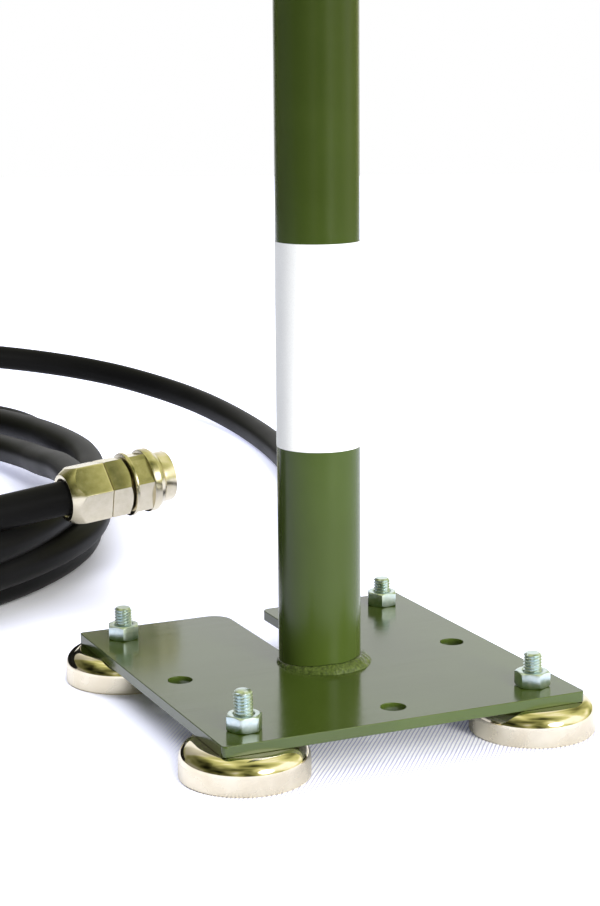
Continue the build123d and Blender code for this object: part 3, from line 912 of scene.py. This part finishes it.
def makeWeld():
    form = bmesh.new()
    inner, toe, height = weld["inner"], weld["toe"], weld["height"]
    root = inner - weld["root"]
    outline = [(root, 0), (inner + toe, 0)]
    for share in weld["faceAt"]:
        # the bead's face bulges a little between its toe and its top
        bulge = weld["bulge"] * math.sin(math.pi * share)
        out = inner + toe + (weld["topLeg"] - toe) * share + bulge
        outline.append((out, height * share + bulge * weld["bulgeUp"]))
    outline += [(inner + weld["topLeg"] - 0.1, height), (root, height)]
    corners = [form.verts.new((radius, 0, up)) for radius, up in outline]
    edges = [form.edges.new(pair) for pair in zip(corners, corners[1:] + corners[:1])]
    form.faces.new(corners)
    gap = math.asin(weld["slotHalf"] / (inner + toe))
    start = math.pi / 2 + gap
    bmesh.ops.rotate(form, cent=(0, 0, 0), matrix=Matrix.Rotation(start, 3, "Z"), verts=form.verts)
    faces = form.faces[:]
    bmesh.ops.spin(
        form,
        geom=faces + corners + edges,
        cent=(0, 0, 0),
        axis=(0, 0, 1),
        dvec=(0, 0, 0),
        angle=2 * math.pi - 2 * gap,
        steps=weld["steps"],
        use_merge=False,
        use_duplicate=False,
    )
    for vert in form.verts:
        radius = radiusOf(vert)
        across = (vert.co.x / radius, vert.co.y / radius)
        lean = across[0] * weld["lean"][0] + across[1] * weld["lean"][1]
        angle = math.atan2(vert.co.y, vert.co.x)
        along = angle * inner / weld["ripple"]
        wander = noise.noise(Vector((vert.co.x, vert.co.y, 0)) / weld["unevenSize"])
        wave = abs(math.sin(along * math.pi / 2 + wander * 2))
        grow = 1 + lean / toe + weld["uneven"] * wander + weld["rippleDepth"] * (wave - 0.5)
        pebble = noise.noise(vert.co / weld["pebble"]) * weld["pebbleDepth"]
        if radius > inner:
            setRadius(vert, inner + (radius - inner) * max(weld["leastToe"], grow) + pebble)
        higher = across[0] * weld["heightLean"][0] + across[1] * weld["heightLean"][1]
        byWander, byWave = weld["heightUneven"]
        vert.co.z *= 1 + higher / height + byWander * wander + byWave * (wave - 0.5)
    bmesh.ops.translate(form, vec=(0, 0, plateTop), verts=form.verts)
    piece = addPiece(form, "weldBead", "antenna", "green_paint", ["weld_bead"], smoothBelow=50)
    piece.data.materials[0] = weldFinish


makeWeld()
print("weld made")

# label: one strip of paper round the tube, its end lapped over its start at the back
label = {
    "radius": 13.62,
    "paper": 0.1,
    "overlap": 4.0,
    "lapStart": 62.0,
    "lapFrom": 0.9,  # share of the strip where it starts to climb on its own start
    "lapOver": 0.08,
    "lift": 0.14,
    "cockle": 0.03,
    "cockleSize": 11.0,
    "squares": (144, 12),
}


def makeLabel():
    low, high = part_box("mast_label")
    middle, half = (low[2] + high[2]) / 2 / mm, (high[2] - low[2]) / 2 / mm
    form = bmesh.new()
    around, upwards = label["squares"]
    bmesh.ops.create_grid(form, x_segments=around, y_segments=upwards, size=1)
    whole = 2 * math.pi + label["overlap"] / label["radius"]
    for vert in form.verts:
        share = (vert.co.x + 1) / 2
        angle = math.radians(label["lapStart"]) + whole * share
        up = middle + vert.co.y * half
        lap = min(1, max(0, (share - label["lapFrom"]) / label["lapOver"]))
        spot = Vector((math.cos(angle), math.sin(angle), up / label["radius"]))
        wave = noise.noise(spot * label["radius"] / label["cockleSize"])
        radius = label["radius"] + label["lift"] * lap + label["cockle"] * wave
        vert.co = (radius * math.cos(angle), radius * math.sin(angle), up)
    bmesh.ops.recalc_face_normals(form, faces=form.faces)
    bmesh.ops.solidify(form, geom=form.faces[:], thickness=label["paper"])
    addPiece(form, "paperLabel", "antenna", "label_paper", ["mast_label"], smoothBelow=60)


makeLabel()
print("label made")

# plug: hexagons milled on turned nickel plated brass, measured along its axis from its rear face
plug = {
    "rear": (-39.9, 147.1, 43.7),
    "front": (3.6, 150.7, 47.75),
    "cornerTowards": (-0.45, -0.85, 0.07),
    "across": 21.6,
    "edge": 0.14,
    "edgeSharper": 14,
    "round": 0.6,
    "roundSharper": 50,
    "joint": 16.2,  # where the clamp nut meets the body
    "steps": 96,
    "threadPitch": 1.058,
    "threadDepth": 0.42,
    "threadBore": 7.95,
}


def plugPlace():
    rear = Vector(plug["rear"])
    way = (Vector(plug["front"]) - rear).normalized()
    towards = Vector(plug["cornerTowards"])
    across = (towards - way * towards.dot(way)).normalized()
    turn = Matrix((across, way.cross(across), way)).transposed()
    return Matrix.Translation(rear) @ turn.to_4x4()


def makePlugPiece(name, body, outline, ends, node, thread=None, rounded=None):
    form = turnedForm(outline, plug["steps"])
    millHexagon(form, plug["across"], 0, ends)
    if rounded is not None:
        softenEdges(form, plug["round"], plug["roundSharper"], rounded)
    if thread:
        cutThread(form, plug["threadBore"], plug["threadDepth"], plug["threadPitch"], *thread)
    else:
        softenEdges(form, plug["edge"], plug["edgeSharper"])
    return addPiece(form, name, body, "nickel_brass", [node], plugPlace())


hexCorner = plug["across"] / math.sqrt(3)
broken = hexCorner - 0.6
joint = plug["joint"]
clampNut = makePlugPiece(
    "clampNut",
    "antenna",
    [
        (7.6, 0),
        (hexCorner - 3.4, 0),
        (hexCorner, 5.2),
        (hexCorner, joint),
        (8.15, joint),
        (8.15, 18.7),
        (6.95, 18.7),
        (6.95, 0.65),
    ],
    [(0, hexCorner - 3.4, 5.2), (0, None, joint)],
    "plug_clamp_nut",
    rounded=joint,
)
plugBody = makePlugPiece(
    "plugBody",
    "antenna",
    [
        (8.2, joint),
        (hexCorner, joint),
        (hexCorner, 23.4),
        (10.8, 24.6),
        (7.2, 24.6),
        (7.2, 29.65),
        (6.6, 29.65),
        (6.6, 30.55),
        (7.2, 30.55),
        (7.2, 31.35),
        (4.15, 31.35),
        (4.15, 41.0),
        (3.5, 41.0),
        (3.5, 22.5),
        (8.2, 22.5),
    ],
    [(0, None, joint), (24.6, 10.8, 23.4)],
    "plug_body",
    rounded=joint,
)
threadStep = plug["threadPitch"] / 8
couplingNut = makePlugPiece(
    "couplingNut",
    "coupling_nut",
    [
        (7.35, 25.5),
        (broken, 25.5),
        (hexCorner - 0.15, 25.65),
        (hexCorner, 26.1),
        (hexCorner, 26.7),
        (hexCorner, 26.72),
        (hexCorner, 33.18),
        (broken, 33.2),
        (hexCorner - 0.15, 33.35),
        (hexCorner, 33.8),
        (hexCorner, 36.2),
        (hexCorner - 1.2, 38.0),
        (hexCorner - 1.35, 38.15),
        (9.9, 39.2),
        (9.9, 43.3),
        (9.7, 43.8),
        (9.2, 44.0),
        (8.45, 44.0),
    ]
    + rows((7.95, 43.5), (7.95, 29.6), threadStep)
    + [(7.95, 29.5), (7.35, 29.5)],
    [(0, None, 26.72), (0, None, 33.18)],
    "plug_coupling_nut",
    thread=(29.8, 43.52),
)
print("plug made")
plugPieces = [clampNut, plugBody, couplingNut]
plugPieces += [
    node for name, node in nodes.items() if name.startswith("plug_") and not node.hide_render
]

# floor, light and world
# directions as seen from the camera, and the one to the window
ways = {
    "ahead": (0.41, 0.912, 0.0),
    "right": (0.912, -0.41, 0.0),
    "window": (0.243, -0.908, 0.342),
}
cloth = {
    # reach to the sides, to the front and to the back, m
    "side": 0.9,
    "front": -0.45,
    "back": 2.6,
    # ridges of the weave: width in mm, turn in degrees, where they show, in m, and how clearly
    "ridge": 1.24,
    "ridgeTurn": 38.0,
    "ridgesAt": (0.012, -0.072, 0.0),
    "ridgesReach": (0.05, 0.12),
    "ridgesMean": 0.7,
    "ridgesLift": 0.15,
    "wander": 1.0,
    # far from the object the cloth is white
    "whiteFrom": 0.25,
    "whiteTo": 0.55,
    # near it, a painted glow: the more open it lies the brighter, and more so towards the window
    "openReach": 0.05,
    "openFrom": 0.25,
    "openTo": 1.05,
    "windowSide": (0.5, -0.87, 0.0),
    "liftFrom": -0.12,
    "liftTo": 0.14,
    "liftLeft": 0.9,
    "liftRight": 0.98,
    "mirrored": 0.35,
}


def makeFloor():
    # the table's cloth: it runs far back and to the sides, and ends in front of the object, out of
    # view
    form = bmesh.new()
    bmesh.ops.create_grid(form, x_segments=2, y_segments=2, size=1)
    middle, half = (cloth["back"] + cloth["front"]) / 2, (cloth["back"] - cloth["front"]) / 2
    bmesh.ops.scale(form, vec=(cloth["side"], half, 1), verts=form.verts)
    bmesh.ops.translate(form, vec=(0, middle, 0), verts=form.verts)
    turn = Matrix.Rotation(math.atan2(-ways["ahead"][0], ways["ahead"][1]), 4, "Z")
    bmesh.ops.transform(form, matrix=turn, verts=form.verts)
    mesh = bpy.data.meshes.new("floorCloth")
    form.to_mesh(mesh)
    form.free()
    floor = bpy.data.objects.new("floorCloth", mesh)
    bpy.context.scene.collection.objects.link(floor)
    # white cotton twill: matt, its ridges seen only where the object's shade falls
    material, tree, shader, coords = newMaterial("whiteCottonTwill", roughness=0.9, ior=1.45)
    turned = addNode(
        tree,
        "ShaderNodeMapping",
        inputs={"Rotation": (0, 0, math.radians(cloth["ridgeTurn"]))},
        links={"Vector": coords},
    ).outputs[0]
    ridges = addNode(
        tree,
        "ShaderNodeTexWave",
        settings={"wave_type": "BANDS", "bands_direction": "X"},
        inputs={
            "Scale": perSize(cloth["ridge"]) * math.pi / 10,
            "Distortion": cloth["wander"],
            "Detail": 2.0,
            "Detail Scale": 0.6,
        },
        links={"Vector": turned},
    ).outputs["Fac"]
    apart = addNode(
        tree,
        "ShaderNodeVectorMath",
        settings={"operation": "DISTANCE"},
        inputs={1: cloth["ridgesAt"]},
        links={0: coords},
    ).outputs["Value"]
    near, far = cloth["ridgesReach"]
    sharp = addNode(
        tree,
        "ShaderNodeMapRange",
        settings={"interpolation_type": "SMOOTHSTEP"},
        inputs={"From Min": near, "From Max": far, "To Min": 1.0, "To Max": 0.0},
        links={"Value": apart},
    ).outputs[0]
    ridges = addNode(
        tree, "ShaderNodeMix", inputs={2: cloth["ridgesMean"]}, links={0: sharp, 3: ridges}
    ).outputs[0]
    bands = {
        "Base Color": [(0.05, "#C0C0CE"), (0.7, "#FBFBFD")],
        # painted light: the glow's lavender colour tints the painted shade near the object
        "Emission Color": [(0.05, "#9A9CBA"), (0.7, "#DCE0FF")],
    }
    for key, stops in bands.items():
        band = addNode(tree, "ShaderNodeValToRGB", links={"Fac": ridges}, stops=stops)
        tree.links.new(band.outputs["Color"], shader.inputs[key])
    far = addNode(
        tree, "ShaderNodeVectorMath", settings={"operation": "LENGTH"}, links={0: coords}
    ).outputs["Value"]
    away = addNode(
        tree,
        "ShaderNodeMapRange",
        settings={"interpolation_type": "SMOOTHSTEP"},
        inputs={"From Min": cloth["whiteFrom"], "From Max": cloth["whiteTo"]},
        links={"Value": far},
    ).outputs[0]
    # the open cloth is as bright as in the overexposed photograph, the cloth under the plate isn't
    # painted light: the glow fills the open cloth and leaves painted shade under and by the object
    openness = addNode(
        tree,
        "ShaderNodeAmbientOcclusion",
        settings={"samples": 8},
        inputs={"Distance": cloth["openReach"]},
    ).outputs["AO"]
    towards = addNode(
        tree,
        "ShaderNodeVectorMath",
        settings={"operation": "DOT_PRODUCT"},
        inputs={1: cloth["windowSide"]},
        links={0: coords},
    ).outputs["Value"]
    brighter = addNode(
        tree,
        "ShaderNodeMapRange",
        inputs={
            "From Min": cloth["liftFrom"],
            "From Max": cloth["liftTo"],
            "To Min": cloth["liftLeft"],
            "To Max": cloth["liftRight"],
        },
        links={"Value": towards},
    ).outputs[0]
    lift = addNode(
        tree,
        "ShaderNodeMapRange",
        settings={"interpolation_type": "SMOOTHSTEP"},
        inputs={"From Min": cloth["openFrom"], "From Max": cloth["openTo"]},
        links={"Value": openness, "To Max": brighter},
    ).outputs[0]
    # a little more painted light where the ridges show
    lift = addNode(
        tree,
        "ShaderNodeMath",
        settings={"operation": "MULTIPLY_ADD"},
        inputs={1: cloth["ridgesLift"]},
        links={0: sharp, 2: lift},
    ).outputs[0]
    white = addNode(
        tree, "ShaderNodeMath", settings={"operation": "MAXIMUM"}, links={0: away, 1: lift}
    ).outputs[0]
    # the white is for the camera, less of it for metal and glass, and gives the object no more
    # light
    path = addNode(tree, "ShaderNodeLightPath")
    mirrored = addNode(
        tree,
        "ShaderNodeMath",
        settings={"operation": "MAXIMUM"},
        links={0: path.outputs["Is Glossy Ray"], 1: path.outputs["Is Transmission Ray"]},
    ).outputs[0]
    seen = addNode(
        tree,
        "ShaderNodeMath",
        settings={"operation": "MULTIPLY_ADD"},
        inputs={1: cloth["mirrored"]},
        links={0: mirrored, 2: path.outputs["Is Camera Ray"]},
    ).outputs[0]
    share = addNode(
        tree, "ShaderNodeMath", settings={"operation": "MULTIPLY"}, links={0: seen, 1: white}
    ).outputs[0]
    tree.links.new(share, shader.inputs["Emission Strength"])
    mesh.materials.append(material)


# lamps: place, target, power, size, spread and colour
lamps = {
    "keyLight": ((0.0, -2.0, 1.4), (0, 0, 0.1), 29.0, 1.2, 180, (1, 1, 1)),
    "frontLight": ((0.1, -0.45, 0.1), (0.005, 0, 0.03), 0.17, 0.16, 40, (1, 1, 1)),
    "backLight": ((-0.9, 2.2, 2.0), (-0.05, 0.2, 0), 44.0, 1.2, 180, (0.86, 0.89, 1.0)),
}


def makeLamp(name, place, target, power, size, spread, colour):
    # seen by matt surfaces only, so that bright metal mirrors the room and not a lamp
    data = bpy.data.lights.new(name, "AREA")
    data.shape = "DISK"
    data.energy = power
    data.size = size
    data.spread = math.radians(spread)
    data.color = colour
    lamp = bpy.data.objects.new(name, data)
    lamp.location = place
    lamp.rotation_euler = (Vector(target) - Vector(place)).to_track_quat("-Z", "Y").to_euler()
    lamp.visible_glossy = False
    bpy.context.scene.collection.objects.link(lamp)


room = {
    "leaf": 1.1,
    "strength": 1.55,
    "sheetInMetal": 0.6,
    # each ramp: the way that it follows, where on it it starts and ends, and its values there or
    # the ramp before it that gives one
    "ramps": {
        "sideShade": ("right", -0.9, 0.8, 0.25, 1.2),
        "overhead": ("up", 0.6, 0.9, "sideShade", 1.15),
        "shade": ("up", -0.25, 0.0, 0.06, "overhead"),
        "sheetWidth": ("ahead", 0.84, 0.95, 0.0, 1.0),
        "sheet": ("up", 0.34, 0.5, "sheetWidth", 0.0),
        "glow": ("window", 0.96, 0.988, 0.0, 2.2),
    },
}


def makeRoom():
    # a white sheet behind the object, trees and sky over it and where one stands to look
    world = bpy.data.worlds.new("paleRoom")
    bpy.context.scene.world = world
    world.use_nodes = True
    tree = world.node_tree
    tree.nodes.clear()
    way = addNode(tree, "ShaderNodeTexCoord").outputs["Generated"]
    along = {"up": addNode(tree, "ShaderNodeSeparateXYZ", links={0: way}).outputs["Z"]}
    for name, direction in ways.items():
        along[name] = addNode(
            tree,
            "ShaderNodeVectorMath",
            settings={"operation": "DOT_PRODUCT"},
            inputs={1: direction},
            links={0: way},
        ).outputs["Value"]
    leaves = addNode(
        tree,
        "ShaderNodeTexNoise",
        inputs={"Scale": room["leaf"], "Detail": 2.0},
        links={"Vector": way},
    ).outputs["Fac"]
    trees = addNode(
        tree,
        "ShaderNodeValToRGB",
        links={"Fac": leaves},
        stops=[(0.34, "#2C2D16"), (0.43, "#7E804F"), (0.53, "#BEBE86"), (0.62, "#EDEADB")],
    ).outputs["Color"]
    # matt surfaces get a plain, slightly cool light instead of the trees
    path = addNode(tree, "ShaderNodeLightPath")
    trees = addNode(
        tree,
        "ShaderNodeMix",
        settings={"data_type": "RGBA"},
        inputs={7: linear("#B6B7BF")},
        links={0: path.outputs["Is Diffuse Ray"], 6: trees},
    ).outputs[2]
    ramps = {}
    for name, (source, start, end, low, high) in room["ramps"].items():
        ramps[name] = addNode(
            tree,
            "ShaderNodeMapRange",
            settings={"interpolation_type": "SMOOTHSTEP"},
            inputs={"From Min": start, "From Max": end},
            links={"Value": along[source]},
        )
        for key, value in (("To Min", low), ("To Max", high)):
            if value in ramps:
                tree.links.new(ramps[value].outputs[0], ramps[name].inputs[key])
            else:
                ramps[name].inputs[key].default_value = value
    trees = addNode(
        tree,
        "ShaderNodeVectorMath",
        settings={"operation": "SCALE"},
        links={0: trees, "Scale": ramps["shade"].outputs[0]},
    ).outputs[0]
    around = addNode(
        tree,
        "ShaderNodeMix",
        settings={"data_type": "RGBA"},
        inputs={7: (1, 1, 1, 1)},
        links={0: ramps["sheet"].outputs[0], 6: trees},
    ).outputs[2]
    around = addNode(
        tree,
        "ShaderNodeVectorMath",
        settings={"operation": "ADD"},
        links={0: around, 1: ramps["glow"].outputs[0]},
    ).outputs[0]
    # the camera sees white all round, metal and glass see it where the sheet hangs
    mirrored = addNode(
        tree,
        "ShaderNodeMath",
        settings={"operation": "MULTIPLY_ADD"},
        inputs={1: room["sheetInMetal"]},
        links={0: path.outputs["Is Glossy Ray"], 2: path.outputs["Is Transmission Ray"]},
    ).outputs[0]
    share = addNode(
        tree,
        "ShaderNodeMath",
        settings={"operation": "MULTIPLY_ADD"},
        links={0: mirrored, 1: ramps["sheet"].outputs[0], 2: path.outputs["Is Camera Ray"]},
    ).outputs[0]
    lightShade = addNode(
        tree,
        "ShaderNodeBackground",
        inputs={"Strength": room["strength"]},
        links={"Color": around},
    )
    whiteShade = addNode(
        tree, "ShaderNodeBackground", inputs={"Color": (1, 1, 1, 1), "Strength": 1.0}
    )
    both = addNode(
        tree,
        "ShaderNodeMixShader",
        links={0: share, 1: lightShade.outputs[0], 2: whiteShade.outputs[0]},
    )
    addNode(tree, "ShaderNodeOutputWorld", links={"Surface": both.outputs[0]})


makeFloor()
for name, lamp in lamps.items():
    makeLamp(name, *lamp)
makeRoom()
bpy.context.scene.view_settings.view_transform = "Standard"
print("stage set")
